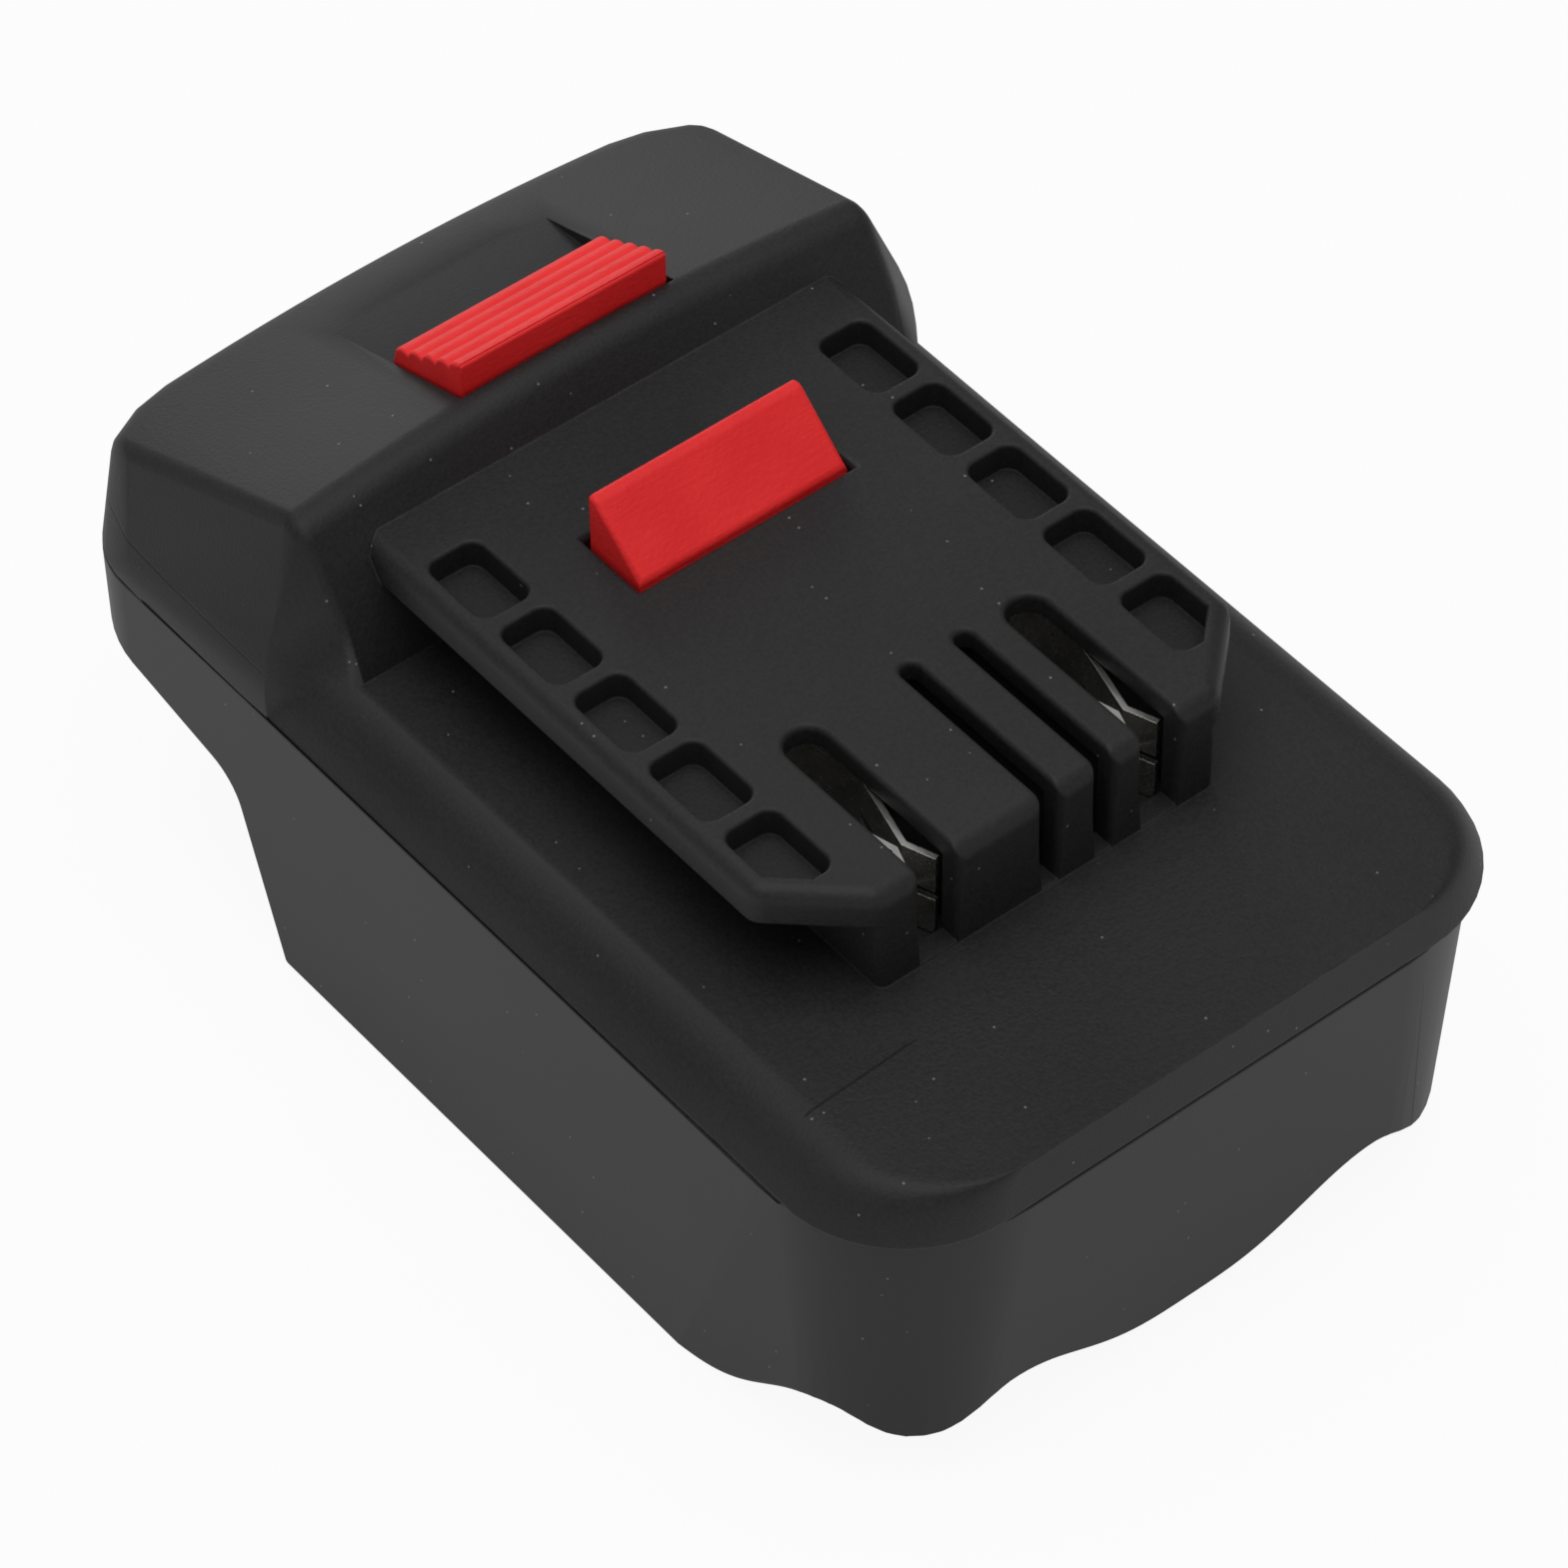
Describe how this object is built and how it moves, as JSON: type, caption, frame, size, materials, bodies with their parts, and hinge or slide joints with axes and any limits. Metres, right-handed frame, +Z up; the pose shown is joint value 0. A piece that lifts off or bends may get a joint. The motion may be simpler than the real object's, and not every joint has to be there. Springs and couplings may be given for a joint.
{
  "type": "tool battery adapter",
  "caption": "Slide-on adapter that joins a cordless tool to a battery pack of another system: a tongue with terminal slots and a sprung latch on top, a railed socket below.",
  "frame": {"origin": "bottom centre of the bounding box, on the plane of the lower rim", "axes": "+Z up, X across, -Y the way the tongue points, +Y the head with the release button"},
  "size_m": [0.0762, 0.1186, 0.059],
  "materials": {
    "upper_shell": "moulded, fine matte grain",
    "lower_shell": "moulded, satin",
    "latch": "moulded, satin",
    "inner_plastic": "moulded, plain",
    "contact_metal": "bright plated sheet",
    "steel": "drawn and turned",
    "lead_red": "soft insulation",
    "lead_black": "soft insulation"
  },
  "bodies": {
    "housing": {"upper_housing": "upper_shell", "lower_housing": "lower_shell", "latch_spring_left": "steel", "latch_spring_right": "steel", "terminal_clip_positive": "contact_metal", "terminal_clip_negative": "contact_metal", "contact_carrier": "inner_plastic", "contact_carrier_screws": "steel", "terminal_block": "inner_plastic", "terminal_block_screws": "steel", "blade_positive": "contact_metal", "blade_negative": "contact_metal", "lead_positive": "lead_red", "lead_negative": "lead_black", "housing_screws": "steel"},
    "latch": {"release_latch": "latch"}
  },
  "joints": [
    {"name": "latch_press", "type": "slide", "parent": "housing", "child": "latch", "axis": [0, 0, 1], "range_m": [-0.0045, 0], "stiffness_N_per_m": 1600, "springref_m": 0.004, "deforming": ["latch_spring_left", "latch_spring_right"]}
  ]
}
